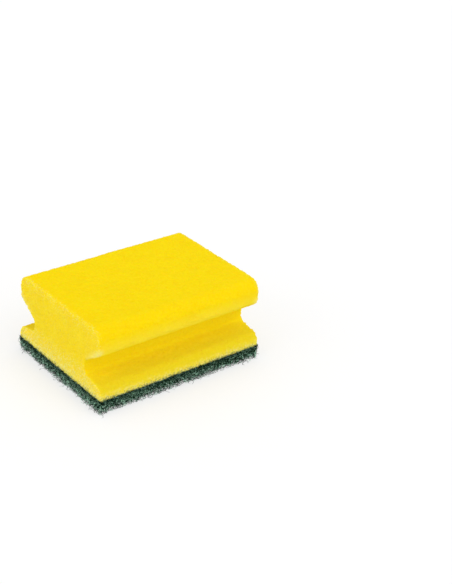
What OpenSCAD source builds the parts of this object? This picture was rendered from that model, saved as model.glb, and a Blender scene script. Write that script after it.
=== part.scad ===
// Cleaning sponge for washing up: a block of soft foam on a fibre scouring pad.
// The block is cut to one profile, with a finger grip along each long side. X runs along
// the grips, Y across them and Z up. The origin is at the centre of the pad's underside.

/* [Foam block] */
// Length of the block along the finger grips
foam_l = 91; // [60:1:130]
// Width of the block at the flange, where it meets the pad
foam_w = 70; // [50:1:100]
// Height of the block from the pad to its flat top
foam_h = 35; // [32:1:50]

/* [Flange] */
// Height of the flange at its outer edge
flange_edge_h = 6.5; // [4.5:0.5:9]
// Rise of the flange's top from its outer edge to the grip
flange_rise = 2.4; // [0.4:0.2:5]
// Radius of the flange's outer edge
flange_edge_r = 4.5; // [1:0.5:5]

/* [Finger grips] */
// Depth of each grip, measured from the flange's side
grip_depth = 13.4; // [8:0.2:18]
// Height of the grip's upright wall
grip_wall_h = 6.5; // [4:0.5:9]
// Radius in the corner between the flange and the grip's wall
grip_foot_r = 3; // [1:0.5:4]
// Radius in the corner between the grip's wall and the head's underside
grip_head_r = 2; // [1:0.5:4]

/* [Head] */
// Rise of the head's sloping underside, from the grip's wall to the lip
head_slope_rise = 7.5; // [4:0.5:10]
// Distance from the flange's side in to the head's side
head_inset = 1.6; // [0:0.2:4]
// Radius of the lip that the fingers hook under
lip_r = 4.7; // [1:0.1:6]
// Radius of the two long top edges
top_edge_r = 5.7; // [1:0.1:7]

/* [Scouring pad] */
// Thickness of the pad
pad_t = 6.5; // [4:0.5:12]
// Radius of the pad's upright corners
pad_corner_r = 1; // [0.5:0.5:4]

/* [Hidden] */
// Facets of a full circle
$fn = 96;
// How far the web of a rounded corner reaches past the corner
web_reach = 1;

// Places across the block, from its middle to one side
flange_y = foam_w / 2;
grip_y = flange_y - grip_depth;
head_y = flange_y - head_inset;

// Heights above the foam's underside
flange_root_z = flange_edge_h + flange_rise;
grip_top_z = flange_root_z + grip_wall_h;
lip_z = grip_top_z + head_slope_rise;

// Sharp corners of one side of the profile, from the pad up to the top
base_corner = [flange_y, 0];
flange_corner = [flange_y, flange_edge_h];
grip_foot = [grip_y, flange_root_z];
grip_head = [grip_y, grip_top_z];
lip_corner = [head_y, lip_z];
top_corner = [head_y, foam_h];
top_middle = [0, foam_h];
side_corners = [base_corner, flange_corner, grip_foot, grip_head, lip_corner, top_corner];

foam_colour = [0.98, 0.85, 0.10];
pad_colour = [0.10, 0.23, 0.18];

// The same points on the other side of the middle, in reverse order
function other_side(points) = [for (i = [len(points) - 1:-1:0]) [-points[i].x, points[i].y]];

function unit(v) = v / norm(v);

// What lies between a corner and the arc that rounds it, where before and after are the
// corners next to it. It is cut from an outer corner and added to an inner one, and it
// reaches past the corner, so that it meets no side of the profile edge to edge.
module corner_web(before, corner, after, radius) {
    to_before = unit(before - corner);
    to_after = unit(after - corner);
    inwards = unit(to_before + to_after);
    half_angle = acos(to_before * to_after) / 2;
    run = radius / tan(half_angle);
    difference() {
        polygon([corner - inwards * web_reach, corner + to_before * run, corner + to_after * run]);
        translate(corner + inwards * radius / sin(half_angle)) circle(r = radius);
    }
}

// A shape and its twin on the other side of the middle
module both_sides() {
    children();
    mirror([1, 0]) children();
}

// The profile that the foam is cut to, seen along the finger grips
module foam_profile() {
    difference() {
        union() {
            polygon(concat(side_corners, other_side(side_corners)));
            both_sides() corner_web(flange_corner, grip_foot, grip_head, grip_foot_r);
            both_sides() corner_web(grip_foot, grip_head, lip_corner, grip_head_r);
        }
        both_sides() corner_web(base_corner, flange_corner, grip_foot, flange_edge_r);
        both_sides() corner_web(grip_head, lip_corner, top_corner, lip_r);
        both_sides() corner_web(lip_corner, top_corner, top_middle, top_edge_r);
    }
}

// The foam block, which stands on the pad
module foam_body() {
    color(foam_colour)
        translate([-foam_l / 2, 0, pad_t])
            rotate([90, 0, 90])
                linear_extrude(foam_l) foam_profile();
}

// The scouring pad, cut flush with the foam
module scouring_pad() {
    corners = [
        [foam_l / 2, -foam_w / 2],
        [foam_l / 2, foam_w / 2],
        [-foam_l / 2, foam_w / 2],
        [-foam_l / 2, -foam_w / 2],
    ];
    count = len(corners);
    color(pad_colour)
        linear_extrude(pad_t)
            difference() {
                polygon(corners);
                for (i = [0:count - 1])
                    corner_web(
                        corners[(i + count - 1) % count],
                        corners[i],
                        corners[(i + 1) % count],
                        pad_corner_r
                    );
            }
}

foam_body();
scouring_pad();
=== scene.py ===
"""Looks of the cleaning sponge: a soft foam block with finger grips, on a scouring pad of curled fibres.

All places are in metres, in the frame of the solids: X runs along the finger grips, Y across them, and Z
up from the pad's underside.
"""

from __future__ import annotations

import logging
import math
from dataclasses import dataclass, field
from enum import Enum

import bpy
import numpy as np
from mathutils import Matrix, Vector


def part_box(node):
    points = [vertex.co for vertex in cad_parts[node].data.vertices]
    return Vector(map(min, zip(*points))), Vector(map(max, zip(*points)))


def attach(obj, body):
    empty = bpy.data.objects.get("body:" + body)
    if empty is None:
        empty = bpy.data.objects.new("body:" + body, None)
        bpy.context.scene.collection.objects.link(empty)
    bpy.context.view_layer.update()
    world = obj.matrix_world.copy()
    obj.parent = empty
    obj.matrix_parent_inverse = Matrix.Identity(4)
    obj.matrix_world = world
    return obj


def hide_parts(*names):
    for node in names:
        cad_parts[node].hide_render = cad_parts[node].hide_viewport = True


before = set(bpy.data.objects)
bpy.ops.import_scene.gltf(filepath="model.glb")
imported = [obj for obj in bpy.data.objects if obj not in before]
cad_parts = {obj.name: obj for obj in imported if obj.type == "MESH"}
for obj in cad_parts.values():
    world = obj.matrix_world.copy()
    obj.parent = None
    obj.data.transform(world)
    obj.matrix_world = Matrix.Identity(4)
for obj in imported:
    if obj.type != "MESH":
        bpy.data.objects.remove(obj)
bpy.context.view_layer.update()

LOG = logging.getLogger("sponge")
MM = 0.001
FOAM_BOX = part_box("foam_body")
PAD_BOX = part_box("scouring_pad")
TONE = "fibre_tone"
NOISE_MEAN = 0.5
Colour = tuple[float, float, float, float]
Span = tuple[float, float]
Place = tuple[float, float, float]
WHITE: Colour = (1.0, 1.0, 1.0, 1.0)


class Wire:
    """One value in a shader tree. Python's operators on it add Math nodes."""

    def __init__(self, shader: Shader, socket: bpy.types.NodeSocket) -> None:
        """Wraps an output socket of the shader's tree."""
        self.shader = shader
        self.socket = socket

    def _math(self, operation: str, *values: Wire | float) -> Wire:
        """Adds one Math node on the values, in their order."""
        return self.shader.add("ShaderNodeMath", {"operation": operation}, dict(enumerate(values)))

    def __add__(self, other: Wire | float) -> Wire:
        """self + other."""
        return self._math("ADD", self, other)

    def __radd__(self, other: float) -> Wire:
        """other + self."""
        return self._math("ADD", other, self)

    def __sub__(self, other: Wire | float) -> Wire:
        """self - other."""
        return self._math("SUBTRACT", self, other)

    def __rsub__(self, other: float) -> Wire:
        """other - self."""
        return self._math("SUBTRACT", other, self)

    def __mul__(self, other: Wire | float) -> Wire:
        """self * other."""
        return self._math("MULTIPLY", self, other)

    def __rmul__(self, other: float) -> Wire:
        """other * self."""
        return self._math("MULTIPLY", other, self)

    def __abs__(self) -> Wire:
        """The value without its sign."""
        return self._math("ABSOLUTE", self)

    def larger(self, other: Wire | float) -> Wire:
        """The larger of the two values."""
        return self._math("MAXIMUM", self, other)

    def rising(self, low: float, high: float) -> Wire:
        """A smooth step from 0 at low to 1 at high."""
        settings = {"interpolation_type": "SMOOTHSTEP"}
        return self.shader.add("ShaderNodeMapRange", settings, {"Value": self, 1: low, 2: high})

    def falling(self, low: float, high: float) -> Wire:
        """A smooth step from 1 at low to 0 at high."""
        return 1.0 - self.rising(low, high)


class Shader:
    """One material, built node by node."""

    def __init__(self, name: str) -> None:
        """Starts a material with an empty tree and its output.

        Args:
            name: The material's name.
        """
        self.material = bpy.data.materials.new(name)
        self.material.use_nodes = True
        self.tree = self.material.node_tree
        self.tree.nodes.clear()
        self.output = self.tree.nodes.new("ShaderNodeOutputMaterial")

    def add(
        self,
        kind: str,
        settings: dict[str, object] | None = None,
        inputs: dict[str | int, object] | None = None,
        output: str | int = 0,
    ) -> Wire:
        """Adds a node.

        Args:
            kind: The node's type, such as ShaderNodeTexNoise.
            settings: The node's own properties, set before its sockets.
            inputs: Values or wires for its input sockets, by name, identifier or place.
            output: Name, identifier or place of the output socket that is wanted.

        Returns:
            The wanted output as a wire.
        """
        node = self.tree.nodes.new(kind)
        for name, value in (settings or {}).items():
            setattr(node, name, value)
        for key, value in (inputs or {}).items():
            socket = self._find(node.inputs, key)
            if isinstance(value, Wire):
                self.tree.links.new(value.socket, socket)
            else:
                socket.default_value = value
        return Wire(self, self._find(node.outputs, output))

    @staticmethod
    def _find(sockets: bpy.types.bpy_prop_collection, key: str | int) -> bpy.types.NodeSocket:
        """Finds one of a node's sockets.

        Args:
            sockets: The node's inputs or its outputs.
            key: The socket's place, identifier or name.

        Returns:
            The socket. An identifier goes before a name.
        """
        if isinstance(key, int):
            return sockets[key]
        named = [s for s in sockets if s.identifier == key] or [s for s in sockets if s.name == key]
        return named[0]

    def place(self) -> Wire:
        """The point on the surface, in metres in the frame of the solids."""
        return self.add("ShaderNodeTexCoord", output="Object")

    def noise(self, place: Wire, grain: float, detail: float = 2.0, warp: float = 0.0) -> Wire:
        """Soft noise from 0 to 1 whose blotches are about grain metres across."""
        inputs = {"Vector": place, "Scale": 1.0 / grain, "Detail": detail, "Distortion": warp}
        return self.add("ShaderNodeTexNoise", {}, inputs, "Fac")

    def cells(self, place: Wire, grain: float) -> Wire:
        """Distance to the middle of the nearest cell, where cells are about grain metres across."""
        return self.add("ShaderNodeTexVoronoi", {}, {"Vector": place, "Scale": 1.0 / grain}, "Distance")

    def blend(self, share: Wire | float, first: Wire | Colour, second: Wire | Colour) -> Wire:
        """The first colour where share is 0 and the second where it is 1."""
        inputs = {"Factor_Float": share, "A_Color": first, "B_Color": second}
        return self.add("ShaderNodeMix", {"data_type": "RGBA"}, inputs, "Result_Color")

    def bump(self, height: Wire, depth: float) -> Wire:
        """A normal from a height of 0 to 1 that stands for depth metres."""
        inputs = {"Height": height, "Distance": depth, "Strength": 1.0}
        return self.add("ShaderNodeBump", {}, inputs, "Normal")

    def finish(self, surface: Wire) -> bpy.types.Material:
        """Links the surface to the output.

        Args:
            surface: The wire of a closed shader, such as a Principled BSDF.

        Returns:
            The finished material.
        """
        self.tree.links.new(surface.socket, self.output.inputs["Surface"])
        return self.material


@dataclass(frozen=True)
class Pattern:
    """Soft-edged blotches, about grain metres across, where noise passes a step."""

    grain: float
    step: Span
    detail: float = 3.0
    warp: float = 0.0

    def on(self, s: Shader, place: Wire) -> Wire:
        """1 inside the blotches and 0 between them."""
        return s.noise(place, self.grain, self.detail, self.warp).rising(*self.step)


@dataclass(frozen=True)
class Pores:
    """Round pores, about grain metres apart."""

    grain: float
    step: Span

    def on(self, s: Shader, place: Wire) -> Wire:
        """1 in the middle of a pore and 0 between pores."""
        return s.cells(place, self.grain).falling(*self.step)


@dataclass(frozen=True)
class FoamZones:
    """Parts of the foam's surface. Each wire is 1 inside its zone and 0 outside."""

    end: Wire
    end_border: Wire
    end_foot: Wire
    bond: Wire
    seam: Wire
    stained: Wire
    flange: Wire
    groove: Wire
    wall: Wire
    lip: Wire
    brim_highlight: Wire


@dataclass(frozen=True)
class FoamMap:
    """Where the foam's zones start and end.

    Heights are measured from the foam's underside, widths from its middle, and depths from its cut ends.
    """

    stray: float = 3.0 * MM
    stray_grain: float = 1.6 * MM
    cut_depths: Span = (0.60 * MM, 0.18 * MM)
    worn_depths: Span = (2.0 * MM, 0.3 * MM)
    rim_depths: Span = (4.0 * MM, 0.3 * MM)
    stained_heights: Span = (0.36 * MM, 3.6 * MM)
    bond_heights: Span = (0.52 * MM, 5.2 * MM)
    seam_heights: Span = (0.6 * MM, 2.0 * MM)
    foot_heights: Span = (3.0 * MM, 16.0 * MM)
    flange_heights: Span = (7.0 * MM, 10.0 * MM)
    wall_heights: Span = (8.9 * MM, 10.4 * MM)
    lip_heights: Span = (24.0 * MM, 31.0 * MM)
    border: Span = (28.0 * MM, 34.0 * MM)
    head_widths: Span = (20.6 * MM, 23.6 * MM)
    brim_start: float = 18.6 * MM
    grip_wall: float = 21.6 * MM
    grip_top: float = 15.4 * MM
    head_slope: float = 0.64
    groove_edge: Span = (-0.3 * MM, 0.8 * MM)
    brim_edge: Span = (0.6 * MM, 4.4 * MM)

    @staticmethod
    def _near_end(along: Wire, depths: Span) -> Wire:
        """A smooth step that rises towards the cut ends, from the first depth to the second."""
        return along.rising(FOAM_BOX[1].x - depths[0], FOAM_BOX[1].x - depths[1])

    def zones(self, s: Shader, place: Wire) -> FoamZones:
        """Finds the foam's zones. Their borders are ragged, as cut foam is.

        Args:
            s: The shader that gets the nodes.
            place: The point on the surface.

        Returns:
            The zones.
        """
        parts = [s.add("ShaderNodeSeparateXYZ", {}, {0: place}, axis) for axis in "XYZ"]
        along, across, height = abs(parts[0]), abs(parts[1]), parts[2] - FOAM_BOX[0].z
        stray = (s.noise(place, self.stray_grain) - NOISE_MEAN) * self.stray
        above_slope = height - self.grip_top - (across - self.grip_wall) * self.head_slope
        groove = above_slope.falling(*self.groove_edge)
        off_groove = 1.0 - groove
        head = off_groove * across.rising(*self.head_widths)
        rim = self._near_end(along + stray, self.rim_depths)
        brim_side = (across + stray).rising(self.brim_start, FOAM_BOX[1].y)
        worn = self._near_end(along + stray, self.worn_depths)
        end = self._near_end(along, self.cut_depths).larger(worn * off_groove)
        border = height.rising(*self.border).larger(across.rising(*self.border) * off_groove)
        return FoamZones(
            end=end,
            end_border=end * border,
            end_foot=end * height.falling(*self.foot_heights),
            bond=(height + stray).falling(*self.bond_heights),
            seam=height.falling(*self.seam_heights),
            stained=height.falling(*self.stained_heights),
            flange=height.falling(*self.flange_heights),
            groove=groove,
            wall=groove * height.rising(*self.wall_heights),
            lip=height.falling(*self.lip_heights) * head,
            # A painted highlight along the lip's lower edge near the cut ends.
            brim_highlight=(above_slope + stray).falling(*self.brim_edge) * head * rim * brim_side,
        )


@dataclass(frozen=True)
class FoamMarks:
    """Marks all over the foam, from 0 between them to 1 on them, and how open its pores are."""

    openness: Wire
    pits: Wire
    fine: Wire
    specks: Wire
    crumbs: Wire
    smears: Wire
    patches: Wire
    blotches: Wire


@dataclass(frozen=True)
class FoamFinish:
    """Open-pored yellow foam, paler and rougher where a blade cut through its cells.

    A value whose name ends in a colour's name is that colour's share in a zone or on some marks.
    """

    skin: Colour = (0.96, 0.690, 0.002, 1.0)
    # Painted light: a brighter yellow that lifts the shade in the finger grips' groove.
    groove_painted_light: Colour = (1.00, 0.775, 0.006, 1.0)
    # A deeper orange, for mottling, and as painted shade on the groove's wall and in the pores.
    deep: Colour = (0.84, 0.50, 0.002, 1.0)
    shaded: Colour = (0.58, 0.43, 0.018, 1.0)
    # Painted shade: a duller, darker yellow for the flange above the pad.
    dull_shade: Colour = (0.78, 0.62, 0.014, 1.0)
    # Pale yellow of the cut ends and the bond; also a painted highlight along the lip.
    pale: Colour = (0.94, 0.77, 0.072, 1.0)
    # Cream of torn cell walls and the bond's skin; also a painted highlight along the lip's edge near the
    # cut ends.
    cream: Colour = (0.92, 0.82, 0.260, 1.0)
    stain: Colour = (0.14, 0.20, 0.080, 1.0)

    pores: Pores = Pores(0.95 * MM, (0.10, 0.48))
    fine_pores: Pores = Pores(0.45 * MM, (0.12, 0.50))
    patches: Pattern = Pattern(4.0 * MM, (0.35, 0.65))
    blotches: Pattern = Pattern(11.0 * MM, (0.40, 0.75))
    crumbs: Pattern = Pattern(1.15 * MM, (0.46, 0.60))
    grain: float = 0.80 * MM
    grain_detail: float = 3.0
    pit_step: Span = (0.38, 0.62)
    speck_step: Span = (0.48, 0.62)
    smear: float = 0.75 * MM
    smear_step: Span = (0.56, 0.68)
    smear_gain: float = 0.12
    skin_open: float = 0.30
    groove_open: float = 0.25

    # Painted shade on the flange.
    flange_painted_shade: float = 0.80
    # Painted shade on the groove's wall under the overhanging lip.
    wall_painted_shade: float = 0.22
    # The pores' grain, with painted shade in their hollows.
    pit_painted_shade: float = 0.70
    pit_loss_on_end: float = 0.70
    blotch_deep: float = 0.12
    end_pale: float = 0.14
    patch_pale: float = 0.12
    # Painted highlight along the lower front of the head, just above the groove.
    lip_painted_highlight: float = 0.32
    bond_pale: float = 0.75
    speck_cream: float = 0.03
    end_cream: float = 0.08
    border_cream: float = 0.24
    crumb_cream: float = 0.60
    # Painted highlight along the lip's lower edge near the cut ends.
    brim_painted_highlight: float = 0.70
    foot_cream: float = 0.12
    foot_speck_cream: float = 0.58
    seam_cream: float = 0.35
    seam_crumb_cream: float = 0.60
    end_shaded: float = 0.65
    foot_shaded: float = 0.35
    flange_shaded: float = 0.55
    fine_shaded: float = 0.60
    most_shaded: float = 0.46
    smear_stain: float = 0.72

    pit_relief: float = 0.80
    fine_relief: float = 0.10
    open_relief: float = 0.20
    pore_depth: float = 0.20 * MM
    roughness: float = 0.92
    specular: float = 0.04
    glow: float = 0.50
    glow_reach: float = 3.0 * MM
    glow_colours: Place = (1.0, 0.7, 0.1)

    def _marks(self, s: Shader, place: Wire, zone: FoamZones) -> FoamMarks:
        """Scatters the marks.

        Args:
            s: The shader that gets the nodes.
            place: The point on the surface.
            zone: The foam's zones.

        Returns:
            The marks.
        """
        grain = s.noise(place, self.grain, self.grain_detail)
        cut = zone.end.larger(zone.groove * self.groove_open)
        openness = self.skin_open + (1.0 - self.skin_open) * cut
        smears = s.noise(place, self.smear) + self.smear_gain * zone.stained
        return FoamMarks(
            openness=openness,
            pits=self.pores.on(s, place) * grain.rising(*self.pit_step) * openness,
            fine=self.fine_pores.on(s, place),
            specks=grain.rising(*self.speck_step),
            crumbs=self.crumbs.on(s, place),
            smears=smears.rising(*self.smear_step),
            patches=self.patches.on(s, place),
            blotches=self.blotches.on(s, place),
        )

    def _cream_share(self, zone: FoamZones, mark: FoamMarks) -> Wire:
        """Finds how much cream there is, from torn cell walls and the bond's skin, and a painted
        highlight along the lip's edge near the cut ends.

        Args:
            zone: The foam's zones.
            mark: The foam's marks.

        Returns:
            The share of cream in the colour.
        """
        on_specks = self.speck_cream + self.end_cream * zone.end + self.border_cream * zone.end_border
        share = mark.specks * on_specks
        share = share + mark.crumbs * zone.bond * self.crumb_cream + self.brim_painted_highlight * zone.brim_highlight
        share = share + zone.end_foot * (self.foot_cream + self.foot_speck_cream * mark.specks)
        return share.larger(zone.seam * (self.seam_cream + self.seam_crumb_cream * mark.crumbs))

    def _colour(self, s: Shader, zone: FoamZones, mark: FoamMarks) -> Wire:
        """Lays the colours over each other.

        Args:
            s: The shader that gets the nodes.
            zone: The foam's zones.
            mark: The foam's marks.

        Returns:
            The foam's colour.
        """
        off_end = 1.0 - zone.end
        pale_share = zone.end * (self.end_pale + self.patch_pale * mark.patches)
        # The lip's share of pale is a painted highlight; the bond's share is the bond's own paler foam.
        pale_share = pale_share.larger(zone.lip * self.lip_painted_highlight).larger(zone.bond * self.bond_pale)
        pit_share = mark.pits * (1.0 - self.pit_loss_on_end * zone.end) * self.pit_painted_shade
        open_cells = self.end_shaded * zone.end + self.foot_shaded * zone.end_foot
        open_cells = open_cells.larger(zone.flange * self.flange_shaded)
        shade = mark.pits.larger(mark.fine * self.fine_shaded) * open_cells
        # Painted light: the groove, away from the cut ends, is laid in a brighter yellow.
        colour = s.blend(zone.groove * off_end, self.skin, self.groove_painted_light)
        # Painted shade: the flange above the pad, away from the cut ends, is dulled towards a darker
        # yellow.
        colour = s.blend(zone.flange * off_end * self.flange_painted_shade, colour, self.dull_shade)
        # Painted shade: the groove's wall under the lip turns towards the deeper orange.
        colour = s.blend(zone.wall * off_end * self.wall_painted_shade, colour, self.deep)
        colour = s.blend(pale_share, colour, self.pale)
        # Pores: the cells' grain, darkened with painted shade in their hollows.
        colour = s.blend(pit_share, colour, self.deep)
        colour = s.blend(mark.blotches * (1.0 - zone.groove) * self.blotch_deep, colour, self.deep)
        colour = s.blend(self._cream_share(zone, mark), colour, self.cream)
        colour = s.blend(shade * self.most_shaded, colour, self.shaded)
        return s.blend(mark.smears * zone.stained * self.smear_stain, colour, self.stain)

    def build(self) -> bpy.types.Material:
        """Builds the finish.

        Returns:
            The foam's material.
        """
        s = Shader("foam_finish")
        place = s.place()
        zone = FoamMap().zones(s, place)
        mark = self._marks(s, place, zone)
        fine_depth = self.fine_relief + self.open_relief * mark.openness
        relief = 1.0 - mark.pits * self.pit_relief - mark.fine * fine_depth
        surface = s.add(
            "ShaderNodeBsdfPrincipled",
            {},
            {
                "Base Color": self._colour(s, zone, mark),
                "Roughness": self.roughness,
                "Normal": s.bump(relief, self.pore_depth),
                "Specular IOR Level": self.specular,
                "Subsurface Weight": self.glow,
                "Subsurface Radius": self.glow_colours,
                "Subsurface Scale": self.glow_reach,
            },
        )
        return s.finish(surface)


@dataclass(frozen=True)
class FibreFinish:
    """Dark green resin-coated fibre, some of it worn to a paler grey-green; its palest tones also stand
    for glints, as a painted highlight.
    """

    dark: Colour = (0.001, 0.024, 0.008, 1.0)
    middle: Colour = (0.014, 0.092, 0.042, 1.0)
    # Pale grey-green of worn fibres, also a painted highlight for glints on their resin.
    worn: Colour = (0.580, 0.980, 0.740, 1.0)
    middle_step: Span = (0.04, 0.45)
    worn_and_glint_step: Span = (0.30, 1.10)
    worn_patches: Pattern = Pattern(0.90 * MM, (0.44, 0.56), detail=1.0)
    least_tone: float = 0.06
    bond_depths: Span = (2.6 * MM, 0.91 * MM)
    bond_darkness: float = 0.85
    bond_worn: float = 0.45
    grit: float = 0.35 * MM
    grit_depth: float = 0.05 * MM
    grit_roughness: float = 0.25
    roughness: float = 0.48
    specular: float = 0.08

    def build(self) -> bpy.types.Material:
        """Builds the finish. Fibres near the bond are darker, and few of them are worn.

        Returns:
            The fibres' material.
        """
        s = Shader("fibre_finish")
        place = s.place()
        height = s.add("ShaderNodeSeparateXYZ", {}, {0: place}, "Z")
        bonded = height.rising(*(PAD_BOX[1].z - depth for depth in self.bond_depths))
        tone = s.add("ShaderNodeAttribute", {"attribute_name": TONE}, {}, "Fac")
        grit = s.noise(place, self.grit)
        patch = self.worn_patches.on(s, place)
        light = 1.0 - bonded * (self.bond_darkness - self.bond_worn * patch)
        shade = tone * (self.least_tone + (1.0 - self.least_tone) * patch)
        colour = s.blend(shade.rising(*self.middle_step) * light, self.dark, self.middle)
        # The palest fibres are partly worn and partly a painted highlight for glints.
        colour = s.blend(shade.rising(*self.worn_and_glint_step) * light, colour, self.worn)
        surface = s.add(
            "ShaderNodeBsdfPrincipled",
            {},
            {
                "Base Color": colour,
                "Roughness": self.roughness + self.grit_roughness * grit,
                "Normal": s.bump(grit, self.grit_depth),
                "Specular IOR Level": self.specular,
            },
        )
        return s.finish(surface)


@dataclass(frozen=True)
class WebFinish:
    """The dark inside of the pad, seen between its outer fibres."""

    gap: Colour = (0.004, 0.014, 0.009, 1.0)
    strand: Colour = (0.016, 0.052, 0.034, 1.0)
    strands: Pattern = Pattern(0.8 * MM, (0.40, 0.62), warp=1.5)
    depth: float = 0.6 * MM
    roughness: float = 0.9
    strand_gloss: float = 0.3
    specular: float = 0.1

    def build(self) -> bpy.types.Material:
        """Builds the finish.

        Returns:
            The material of the pad's inside.
        """
        s = Shader("web_finish")
        strands = self.strands.on(s, s.place())
        surface = s.add(
            "ShaderNodeBsdfPrincipled",
            {},
            {
                "Base Color": s.blend(strands, self.gap, self.strand),
                "Roughness": self.roughness - self.strand_gloss * strands,
                "Normal": s.bump(strands, self.depth),
                "Specular IOR Level": self.specular,
            },
        )
        return s.finish(surface)


def select_only(piece: bpy.types.Object) -> None:
    """Deselects everything, then selects one piece and makes it active.

    Args:
        piece: The object to work on.
    """
    bpy.ops.object.select_all(action="DESELECT")
    piece.select_set(True)
    bpy.context.view_layer.objects.active = piece


def apply_modifier(piece: bpy.types.Object, kind: str, **settings: object) -> None:
    """Adds a modifier with the settings and applies it.

    Args:
        piece: The object that the modifier changes.
        kind: The modifier's type, such as REMESH.
        settings: The modifier's own properties.
    """
    select_only(piece)
    modifier = piece.modifiers.new(kind.lower(), kind)
    for name, value in settings.items():
        setattr(modifier, name, value)
    bpy.ops.object.modifier_apply(modifier=modifier.name)


def displace(piece: bpy.types.Object, name: str, grain: float, strength: float, group: str = "") -> None:
    """Moves the piece's skin in and out along its normals by a cloud texture.

    Args:
        piece: The object that is changed.
        name: The texture's name.
        grain: About how wide the texture's blotches are, in metres.
        strength: The whole way from the deepest to the highest point, in metres.
        group: The vertex group that weighs the change, if any.
    """
    texture = bpy.data.textures.new(name, "CLOUDS")
    texture.noise_scale = grain
    apply_modifier(
        piece, "DISPLACE", texture=texture, texture_coords="LOCAL", strength=strength, vertex_group=group
    )


def read_points(piece: bpy.types.Object) -> np.ndarray:
    """Reads where the piece's points are.

    Args:
        piece: A mesh object.

    Returns:
        The points, one row for each.
    """
    points = np.empty(len(piece.data.vertices) * 3, np.float32)
    piece.data.vertices.foreach_get("co", points)
    return points.reshape(-1, 3)


def mount_piece(piece: bpy.types.Object, material: bpy.types.Material, node: str) -> None:
    """Gives a finished piece its material and its place in the frame.

    Args:
        piece: The finished object.
        material: The material for all of it.
        node: The solid that it stands for.
    """
    piece.data.materials.clear()
    piece.data.materials.append(material)
    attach(piece, "root")
    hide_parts(node)


@dataclass
class FoamBlock:
    """The foam block, cut to one profile along its whole length."""

    face_size: float = 0.52 * MM
    weld: float = 0.001 * MM
    smoothing: float = 0.5
    softening: int = 2
    rounding: int = 4
    rounded_band: float = 1.6 * MM
    sag: float = 0.35 * MM
    sag_grain: float = 14.0 * MM
    tear: float = 1.1 * MM
    tear_grain: float = 1.0 * MM
    cut_band: float = 1.2 * MM
    skin_share: float = 0.70
    base_share: float = 0.3
    level: float = 0.01 * MM
    flat_angle: float = 1.0

    def model(self) -> bpy.types.Object:
        """Lays a fine skin over the solid's own outline, then wears and tears it.

        Returns:
            The block.
        """
        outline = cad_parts["foam_body"].data.copy()
        piece = bpy.data.objects.new("foam_block", outline)
        bpy.context.scene.collection.objects.link(piece)
        select_only(piece)
        bpy.ops.object.mode_set(mode="EDIT")
        bpy.ops.mesh.select_all(action="SELECT")
        bpy.ops.mesh.remove_doubles(threshold=self.weld)
        bpy.ops.object.mode_set(mode="OBJECT")
        apply_modifier(piece, "REMESH", mode="VOXEL", voxel_size=self.face_size, use_smooth_shade=True)
        apply_modifier(piece, "SMOOTH", factor=self.smoothing, iterations=self.softening)
        self._round_ends(piece)
        self._roughen(piece)
        self._flatten_base(piece)
        return piece

    @staticmethod
    def _near_ends(piece: bpy.types.Object, name: str, band: float, least: float) -> None:
        """Makes a vertex group whose weight grows to 1 over a band next to the two cut ends.

        Args:
            piece: The block.
            name: The group's name.
            band: The band's width in metres.
            least: The weight away from the ends.
        """
        past = (np.abs(read_points(piece)[:, 0]) - FOAM_BOX[1].x + band) / band
        weights = least + (1 - least) * np.clip(past, 0, 1)
        group = piece.vertex_groups.new(name=name)
        for index, weight in enumerate(weights.tolist()):
            group.add([index], weight, "REPLACE")

    def _round_ends(self, piece: bpy.types.Object) -> None:
        """Wears the edges round the two cut ends."""
        self._near_ends(piece, "rounded", self.rounded_band, 0.0)
        apply_modifier(
            piece, "SMOOTH", factor=self.smoothing, iterations=self.rounding, vertex_group="rounded"
        )

    def _roughen(self, piece: bpy.types.Object) -> None:
        """Gives the skin the slight unevenness of cut foam, most of all at the two cut ends.

        Args:
            piece: The block, which is changed.
        """
        self._near_ends(piece, "torn", self.cut_band, self.skin_share)
        displace(piece, "foam_sag", self.sag_grain, self.sag)
        displace(piece, "foam_tear", self.tear_grain, self.tear, "torn")

    def _flatten_base(self, piece: bpy.types.Object) -> None:
        """Lays the underside flat on the pad and dissolves its hidden faces into one.

        Args:
            piece: The block, which is changed.
        """
        points = read_points(piece)
        base = FOAM_BOX[0].z
        near_base = points[:, 2] < base + self.base_share * self.face_size
        points[:, 2] = np.where(near_base, base, points[:, 2])
        piece.data.vertices.foreach_set("co", points.ravel())
        select_only(piece)
        bpy.ops.object.mode_set(mode="EDIT")
        bpy.ops.mesh.select_all(action="DESELECT")
        bpy.ops.object.mode_set(mode="OBJECT")
        for face in piece.data.polygons:
            face.select = all(abs(points[i, 2] - base) < self.level for i in face.vertices)
        bpy.ops.object.mode_set(mode="EDIT")
        bpy.ops.mesh.dissolve_limited(angle_limit=math.radians(self.flat_angle))
        bpy.ops.object.mode_set(mode="OBJECT")

    def build(self) -> bpy.types.Object:
        """Models and dresses the block.

        Returns:
            The finished piece.
        """
        piece = self.model()
        mount_piece(piece, FoamFinish().build(), "foam_body")
        return piece


@dataclass
class PadCore:
    """The dense inside of the scouring pad, just behind its outer fibres."""

    side_inset: float = 1.1 * MM
    base_inset: float = 2.1 * MM
    face_size: float = 1.0 * MM
    lump: float = 0.9 * MM
    lump_grain: float = 2.0 * MM

    def build(self) -> bpy.types.Object:
        """Models and dresses the pad's inside. Its top stays level under the foam.

        Returns:
            The finished piece.
        """
        low, high = PAD_BOX
        inset = Vector((self.side_inset, self.side_inset, 0))
        low = low + inset + Vector((0, 0, self.base_inset))
        high = high - inset
        bpy.ops.object.select_all(action="DESELECT")
        bpy.ops.mesh.primitive_cube_add(size=1, location=(low + high) / 2, scale=high - low)
        piece = bpy.context.object
        piece.name = "pad_core"
        bpy.ops.object.transform_apply(location=True, rotation=False, scale=True)
        apply_modifier(piece, "REMESH", mode="VOXEL", voxel_size=self.face_size, use_smooth_shade=True)
        displace(piece, "pad_lumps", self.lump_grain, self.lump)
        points = read_points(piece)
        points[:, 2] = np.minimum(points[:, 2], PAD_BOX[1].z)
        piece.data.vertices.foreach_set("co", points.ravel())
        mount_piece(piece, WebFinish().build(), "scouring_pad")
        return piece


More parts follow.
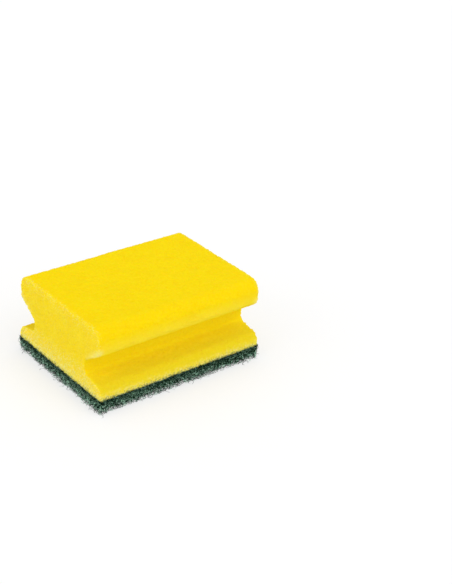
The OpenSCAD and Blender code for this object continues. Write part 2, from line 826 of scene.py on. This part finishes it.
@dataclass
class FibreStock:
    """A few curled fibres, from which the pad's thousands are copied."""

    count: int = 20
    section_sides: int = 3
    section_radius: float = 0.12 * MM
    arcs: int = 3
    steps: int = 3
    bend_radius: Span = (0.6 * MM, 1.5 * MM)
    bend_angle: Span = (80.0, 160.0)
    half_turns: Span = (0.5, 1.5)
    seed: int = 5

    def model(self) -> tuple[np.ndarray, list[list[int]]]:
        """Sweeps a small section round a chain of arcs, once for each kind of fibre.

        Returns:
            The fibres' points, as kinds by points by three, and the faces that they share.
        """
        rng = np.random.default_rng(self.seed)
        meshes = [self._one(rng) for _ in range(self.count)]
        kinds = [np.array([v.co for v in mesh.vertices]) for mesh in meshes]
        faces = [list(p.vertices) for p in meshes[0].polygons]
        return np.array([points - points.mean(0) for points in kinds]), faces

    def _one(self, rng: np.random.Generator) -> bpy.types.Mesh:
        """Makes one curled fibre. Each arc bends to another side than the last.

        Args:
            rng: Where the draws for its arcs come from.

        Returns:
            The fibre's mesh.
        """
        bpy.ops.object.select_all(action="DESELECT")
        bpy.ops.mesh.primitive_circle_add(
            vertices=self.section_sides,
            radius=self.section_radius,
            fill_type="NGON",
            rotation=(0, math.pi / 2, 0),
        )
        piece = bpy.context.object
        bpy.ops.object.transform_apply(location=False, rotation=True, scale=False)
        bpy.ops.object.mode_set(mode="EDIT")
        bpy.ops.mesh.select_all(action="SELECT")
        tip, heading, side = Vector((0, 0, 0)), Vector((1, 0, 0)), Vector((0, 1, 0))
        for _ in range(self.arcs):
            side = Matrix.Rotation(rng.uniform(*self.half_turns) * math.pi, 3, heading) @ side
            reach = rng.uniform(*self.bend_radius)
            angle = math.radians(rng.uniform(*self.bend_angle))
            centre, axis = tip + side * reach, heading.cross(side)
            # With no window, spin turns the other way round its axis.
            bpy.ops.mesh.spin(steps=self.steps, angle=angle, center=centre, axis=-axis)
            turn = Matrix.Rotation(angle, 3, axis)
            tip, heading, side = centre + turn @ (tip - centre), turn @ heading, turn @ side
        bpy.ops.mesh.select_all(action="SELECT")
        bpy.ops.mesh.normals_make_consistent(inside=False)
        bpy.ops.object.mode_set(mode="OBJECT")
        mesh = piece.data
        bpy.data.objects.remove(piece)
        return mesh


class Zone(Enum):
    """Where on the pad a lot of fibres lies."""

    UNDERSIDE = "underside"
    LONG_SIDES = "long_sides"
    ENDS = "ends"
    FRINGE = "fringe"
    BOND = "bond"


# The highest tone that a fibre in each zone can have. Fibres on the ends come out much the lightest.
LIGHTNESS = {
    Zone.UNDERSIDE: 0.85,
    Zone.LONG_SIDES: 1.6,
    Zone.ENDS: 4.4,
    Zone.FRINGE: 1.5,
    Zone.BOND: 1.2,
}


@dataclass
class PadFibres:
    """One lot of curled fibres on the pad's outside.

    A power above 1 crowds its draws towards the low end: low heights, small depths, dark tones.
    """

    name: str
    zone: Zone
    count: int
    seed: int
    stock: tuple[np.ndarray, list[list[int]]] = field(repr=False)
    layer: float = 1.2 * MM
    layer_power: float = 1.3
    rim: float = 2.2 * MM
    frayed: float = 1.7 * MM
    fringe_depth: float = 0.8 * MM
    fringe_power: float = 1.2
    bond_width: float = 1.4 * MM
    bond_below: float = 0.6
    size: Span = (0.75, 1.25)
    tilt: float = 0.35
    underside_height: float = 0.3
    side_height: float = 0.7
    proud: float = 0.15
    loose_power: int = 3
    outside_from: float = 0.05 * MM
    over_bond: float = 1.4 * MM
    off_foam: float = 0.50 * MM
    folded: float = 0.05
    tone_power: float = 1.4

    def _places(self, rng: np.random.Generator) -> np.ndarray:
        """Draws where the middle of each fibre lies.

        Args:
            rng: Where the draws come from.

        Returns:
            The middles, one row for each fibre.
        """
        low, high = (np.array(corner) for corner in PAD_BOX)
        place = rng.uniform(low, high, (self.count, 3))
        rows = np.arange(self.count)
        if self.zone is Zone.UNDERSIDE:
            place[:, :2] *= 1 - self.rim / high[:2]
            place[:, 2] = low[2] + self.layer * rng.random(self.count) ** self.layer_power
            return place
        place[:, 2] = rng.uniform(low[2] + self.frayed, high[2], self.count)
        depth = self.layer * rng.random(self.count)
        axis = np.full(self.count, 0 if self.zone is Zone.ENDS else 1)
        if self.zone in (Zone.FRINGE, Zone.BOND):
            axis = (rng.random(self.count) < high[0] / (high[0] + high[1])).astype(int)
            depth = self.fringe_depth * rng.random(self.count)
            place[:, 2] = low[2] + (high[2] - low[2]) * rng.random(self.count) ** self.fringe_power
        if self.zone is Zone.BOND:
            depth = np.zeros(self.count)
            place[:, 2] = high[2] + self.bond_width * (rng.random(self.count) - self.bond_below)
        sign = rng.choice([-1.0, 1.0], self.count)
        place[rows, axis] = sign * (high[axis] - depth)
        return place

    def _turns(self, rng: np.random.Generator) -> np.ndarray:
        """Draws a turn for each fibre: any way round, and mostly lying down.

        Args:
            rng: Where the draws come from.

        Returns:
            The turns, as fibres by three by three.
        """
        yaw = rng.uniform(-math.pi, math.pi, self.count)
        tilt = rng.normal(0, self.tilt, self.count)
        roll = rng.uniform(-math.pi, math.pi, self.count)
        zero, one = np.zeros(self.count), np.ones(self.count)
        c, s = np.cos(yaw), np.sin(yaw)
        about_z = np.array([[c, -s, zero], [s, c, zero], [zero, zero, one]])
        c, s = np.cos(tilt), np.sin(tilt)
        about_y = np.array([[c, zero, s], [zero, one, zero], [-s, zero, c]])
        c, s = np.cos(roll), np.sin(roll)
        about_x = np.array([[one, zero, zero], [zero, c, -s], [zero, s, c]])
        return np.einsum("ijn,jkn,kln->nil", about_z, about_y, about_x)

    def _press(self, points: np.ndarray, rng: np.random.Generator) -> np.ndarray:
        """Presses what stands out of the pad's outline back to it, as a cut leaves it.

        Args:
            points: The fibres' points, which are changed.
            rng: Where the draws come from, of how far each fibre stays out.

        Returns:
            The pressed points.
        """
        low, high = (np.array(corner) for corner in PAD_BOX)
        keep = np.full((self.count, 1), self.proud)
        if self.zone is Zone.FRINGE:
            keep = self.proud + rng.random((self.count, 1)) ** self.loose_power
        past = np.maximum(np.abs(points[..., :2]) - high[:2], 0)
        points[..., :2] -= np.sign(points[..., :2]) * past * (1 - keep[..., None])
        if self.zone is Zone.BOND:
            self._lay_on_sides(points, high[:2])
        rise = self.over_bond * rng.random((self.count, 1))
        outside = (past.max(-1) > self.outside_from) | (self.zone is Zone.BOND)
        roof = high[2] + np.where(outside, rise, 0)
        height = points[..., 2]
        height = np.where(height > roof, roof - self.folded * (height - roof), height)
        points[..., 2] = np.where(height < low[2], low[2] + self.folded * (low[2] - height), height)
        return points

    def _lay_on_sides(self, points: np.ndarray, outline: np.ndarray) -> None:
        """Folds the fibres' points out of the foam, so that they lie on its sides.

        Args:
            points: The fibres' points, which are changed.
            outline: Half the pad's length and half its width.
        """
        inside = outline - np.abs(points[..., :2])
        nearest = inside.argmin(-1)[..., None]
        folded = outline + self.off_foam + self.proud * np.abs(inside)
        signs = np.where(points[..., :2] < 0, -1.0, 1.0)
        np.put_along_axis(points, nearest, np.take_along_axis(signs * folded, nearest, -1), -1)

    def build(self, material: bpy.types.Material) -> bpy.types.Object:
        """Copies the stock's fibres over the zone and dresses them.

        Args:
            material: The fibres' finish.

        Returns:
            The piece that all of the lot's fibres make.
        """
        rng = np.random.default_rng(self.seed)
        kinds, faces = self.stock
        place = self._places(rng)
        fibres = kinds[rng.integers(0, len(kinds), self.count)]
        fibres = np.einsum("nij,npj->npi", self._turns(rng), fibres)
        size = rng.uniform(*self.size, (self.count, 1, 1))
        flat = self.underside_height if self.zone is Zone.UNDERSIDE else self.side_height
        points = self._press(fibres * size * (1.0, 1.0, flat) + place[:, None, :], rng)
        each = points.shape[1]
        all_faces = [[i + first for i in f] for first in range(0, self.count * each, each) for f in faces]
        mesh = bpy.data.meshes.new(self.name)
        mesh.from_pydata(points.reshape(-1, 3), [], all_faces)
        mesh.polygons.foreach_set("use_smooth", np.ones(len(all_faces), bool))
        tone = mesh.attributes.new(TONE, "FLOAT", "POINT")
        tones = rng.random(self.count) ** self.tone_power * LIGHTNESS[self.zone]
        tone.data.foreach_set("value", np.repeat(tones, each).astype(np.float32))
        piece = bpy.data.objects.new(self.name, mesh)
        bpy.context.scene.collection.objects.link(piece)
        mount_piece(piece, material, "scouring_pad")
        return piece


@dataclass
class ScouringPad:
    """The scouring pad: a dense core behind several lots of curled fibres."""

    underside: int = 3000
    sides: int = 1900
    ends: int = 1450
    fringe: int = 3000
    bond: int = 1300
    first_seed: int = 11
    thin_radius: float = 0.085 * MM
    thin_seed: int = 6

    def _lots(self) -> list[PadFibres]:
        """Plans the lots of fibres. Loose fibres are thinner than those of the web.

        Returns:
            The lots, each with its own seed.
        """
        web = FibreStock().model()
        loose = FibreStock(section_radius=self.thin_radius, seed=self.thin_seed).model()
        plan = [
            ("pad_underside_a", Zone.UNDERSIDE, self.underside, web),
            ("pad_underside_b", Zone.UNDERSIDE, self.underside, web),
            ("pad_long_sides", Zone.LONG_SIDES, self.sides, web),
            ("pad_ends", Zone.ENDS, self.ends, web),
            ("pad_fringe", Zone.FRINGE, self.fringe, loose),
            ("pad_bond", Zone.BOND, self.bond, loose),
        ]
        seeded = enumerate(plan, self.first_seed)
        return [PadFibres(name, zone, count, seed, stock) for seed, (name, zone, count, stock) in seeded]

    def build(self) -> list[bpy.types.Object]:
        """Models and dresses all of the pad.

        Returns:
            The finished pieces.
        """
        material = FibreFinish().build()
        lots = self._lots()
        return [PadCore().build(), *(lot.build(material) for lot in lots)]


@dataclass
class Studio:
    """Floor, light and camera. Angles are in degrees."""

    camera_place: Place = (-0.30571, -0.42720, 0.31773)
    camera_aim: Place = (0.07467, 0.02574, 0.0)
    camera_roll: float = 3.52
    lens: float = 77.38
    sensor: float = 36.0
    ambient: float = 0.845
    key_strength: float = 0.57
    key_from: Place = (-1.0, 0.1, 0.4)
    fill_strength: float = 0.62
    fill_from: Place = (0.3, -1.0, 0.85)
    spread: float = 55.0
    floor_size: float = 6.0
    floor_lift: float = 0.6
    floor_tint: Colour = (0.88, 0.88, 0.88, 1.0)

    def build(self) -> None:
        """Sets up the floor, the light and the camera."""
        self._floor()
        self._world()
        self._lamp("key", self.key_strength, self.key_from)
        self._lamp("fill", self.fill_strength, self.fill_from)
        self._camera()
        bpy.context.scene.view_settings.view_transform = "Standard"

    @staticmethod
    def _seen(shader: Shader) -> Wire:
        """Tells the rays that show the background as such from those that light the object.

        Args:
            shader: The shader that gets the nodes.

        Returns:
            1 for the first kind of ray and 0 for the second.
        """
        names = ("Is Camera Ray", "Is Glossy Ray", "Is Transmission Ray")
        rays = [shader.add("ShaderNodeLightPath", output=name) for name in names]
        return rays[0].larger(rays[1]).larger(rays[2])

    def _floor(self) -> None:
        """Lays a plain pale floor that keeps the object's shadow."""
        bpy.ops.object.select_all(action="DESELECT")
        bpy.ops.mesh.primitive_plane_add(size=self.floor_size, location=(0, 0, 0))
        floor = bpy.context.object
        floor.name = "floor"
        s = Shader("floor_finish")
        seen = self._seen(s)
        matt = s.add("ShaderNodeBsdfDiffuse", {}, {"Color": s.blend(seen, self.floor_tint, WHITE)})
        white = s.add("ShaderNodeEmission", {}, {"Color": WHITE, "Strength": 1.0})
        both = s.add("ShaderNodeMixShader", {}, {0: seen * self.floor_lift, 1: matt, 2: white})
        floor.data.materials.append(s.finish(both))

    def _world(self) -> None:
        """Lights the object evenly from all round, with a white that the camera sees too."""
        world = bpy.data.worlds.new("studio")
        world.use_nodes = True
        bpy.context.scene.world = world
        background = world.node_tree.nodes["Background"]
        background.inputs["Color"].default_value = WHITE
        background.inputs["Strength"].default_value = self.ambient

    def _lamp(self, name: str, strength: float, source: Place) -> None:
        """Hangs a broad soft lamp far off.

        Args:
            name: The lamp's name.
            strength: Its strength.
            source: The direction that its light comes from.
        """
        lamp = bpy.data.lights.new(name, "SUN")
        lamp.energy = strength
        lamp.angle = math.radians(self.spread)
        piece = bpy.data.objects.new(name, lamp)
        piece.rotation_euler = Vector(source).to_track_quat("Z", "Y").to_euler()
        bpy.context.scene.collection.objects.link(piece)

    def _camera(self) -> None:
        """Places the camera at the photograph's viewing angle."""
        data = bpy.data.cameras.new("camera")
        data.lens = self.lens
        data.sensor_width = self.sensor
        piece = bpy.data.objects.new("camera", data)
        place = Vector(self.camera_place)
        look = (Vector(self.camera_aim) - place).to_track_quat("-Z", "Y").to_matrix()
        roll = Matrix.Rotation(math.radians(self.camera_roll), 3, "Z")
        piece.matrix_world = Matrix.Translation(place) @ (look @ roll).to_4x4()
        bpy.context.scene.collection.objects.link(piece)
        bpy.context.scene.camera = piece


def main() -> None:
    """Builds the sponge, its floor, light and camera, and reports each piece."""
    logging.basicConfig(level=logging.INFO, format="%(name)s: %(message)s")
    for piece in [FoamBlock().build(), *ScouringPad().build()]:
        LOG.info("%s: %d faces", piece.name, len(piece.data.polygons))
    Studio().build()


if __name__ == "__main__":
    main()
